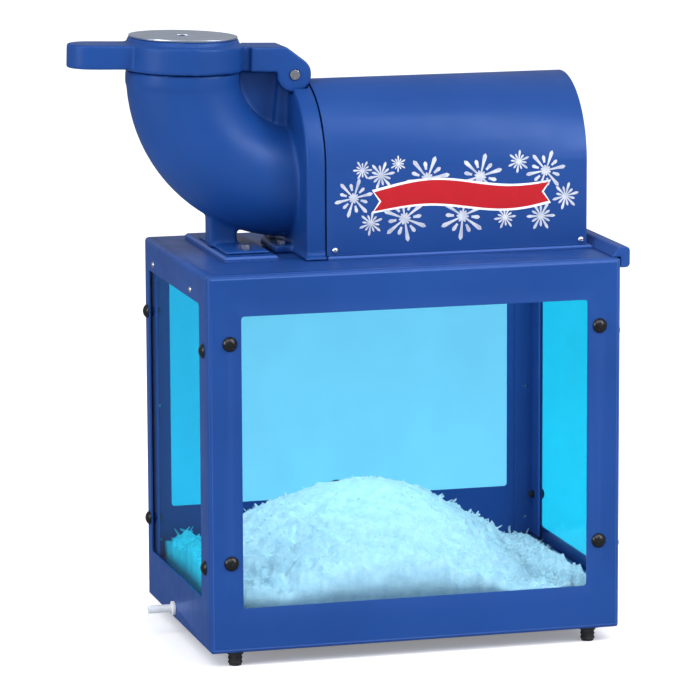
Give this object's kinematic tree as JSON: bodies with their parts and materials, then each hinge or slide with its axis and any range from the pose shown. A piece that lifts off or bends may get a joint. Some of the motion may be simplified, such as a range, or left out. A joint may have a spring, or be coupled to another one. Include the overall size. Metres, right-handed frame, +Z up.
{
  "type": "ice shaver",
  "caption": "Countertop ice shaver: curved hopper with a hinged pusher lid, arched motor hood, and a glazed cabinet that holds the shaved ice, with a rear door and a drain.",
  "frame": {"origin": "on the ground, under the centre of the machine's bounding box", "axes": "+Z up, the glazed front faces -Y, the hopper and its handle are on the -X side"},
  "size_m": [0.644, 0.3635, 0.7347],
  "materials": {
    "blue_paint": "satin powder coat with a faint orange peel",
    "clear_acrylic": "clear panel with a light blue tint",
    "black_plastic": "glossy moulded",
    "black_matte": "fine texture",
    "black_rubber": "matte ribbed",
    "white_plastic": "smooth moulded",
    "red_plastic": "glossy moulded",
    "zinc_steel": "zinc-plated fasteners and pins",
    "stainless": "brushed stainless sheet and bar",
    "cast_blue": "cast aluminium under satin blue powder coat",
    "blade_steel": "ground edge",
    "motor_enamel": "dark grey enamel",
    "motor_casting": "plain cast",
    "copper_winding": "lacquered copper",
    "packed_snow": "loose shaved ice"
  },
  "bodies": {
    "machine": {"front_panel": "blue_paint", "left_panel": "blue_paint", "right_panel": "blue_paint", "rear_frame": "blue_paint", "top_deck": "blue_paint", "floor_plate": "blue_paint", "corner_posts": "blue_paint", "deck_rails": "blue_paint", "melt_tray": "stainless", "ice_rack": "stainless", "front_window": "clear_acrylic", "left_window": "clear_acrylic", "right_window": "clear_acrylic", "window_domes": "black_plastic", "window_nuts": "black_plastic", "panel_screws": "zinc_steel", "rubber_feet": "black_rubber", "foot_bolts": "zinc_steel", "drain_spigot": "white_plastic", "drain_nut": "white_plastic", "shaved_ice": "packed_snow", "door_hinge_fixed": "stainless", "door_hinge_pin": "zinc_steel", "deck_lip": "cast_blue", "head_pad": "cast_blue", "motor_plinth": "blue_paint", "head_casting": "cast_blue", "head_bolts": "zinc_steel", "hinge_pin": "zinc_steel", "ice_chute": "stainless", "motor_shell": "motor_enamel", "motor_front_bell": "motor_casting", "motor_rear_bell": "motor_casting", "motor_bearings": "zinc_steel", "motor_stator": "copper_winding", "motor_cradle": "motor_enamel", "motor_bolts": "zinc_steel", "start_capacitor": "black_matte", "motor_hood": "blue_paint", "hood_end_plate": "blue_paint", "hood_brackets": "blue_paint", "hood_screws": "zinc_steel", "switch_bezel": "black_matte", "cord_gland": "black_rubber"},
    "pusher": {"pusher_lid": "cast_blue", "lid_disc": "stainless", "pusher_arm": "motor_casting", "pusher_plate": "motor_casting", "pusher_screws": "zinc_steel"},
    "cutter": {"cutter_disc": "motor_casting", "cutter_blades": "blade_steel", "blade_screws": "zinc_steel", "cutter_nut": "zinc_steel", "drive_shaft": "zinc_steel", "motor_rotor": "zinc_steel", "cooling_fan": "black_matte"},
    "rear_flap": {"rear_door": "clear_acrylic", "door_hinge_leaf": "stainless", "door_knob": "black_matte"},
    "rocker": {"power_rocker": "red_plastic"}
  },
  "joints": [
    {"name": "pusher_hinge", "type": "hinge", "parent": "machine", "child": "pusher", "pos_m": [-0.051, 0.00575, 0.684], "axis": [0, 1, 0], "range_deg": [0, 95]},
    {"name": "cutter_spin", "type": "hinge", "parent": "machine", "child": "cutter", "pos_m": [-0.043, 0.00575, 0.553], "axis": [1, 0, 0], "continuous": true},
    {"name": "rear_door_hinge", "type": "hinge", "parent": "machine", "child": "rear_flap", "pos_m": [0.056, 0.15975, 0.444], "axis": [1, 0, 0], "range_deg": [0, 105]},
    {"name": "power_switch", "type": "hinge", "parent": "machine", "child": "rocker", "pos_m": [0.234, 0.09975, 0.532], "axis": [-1, 0, 0], "range_deg": [0, 10]}
  ]
}
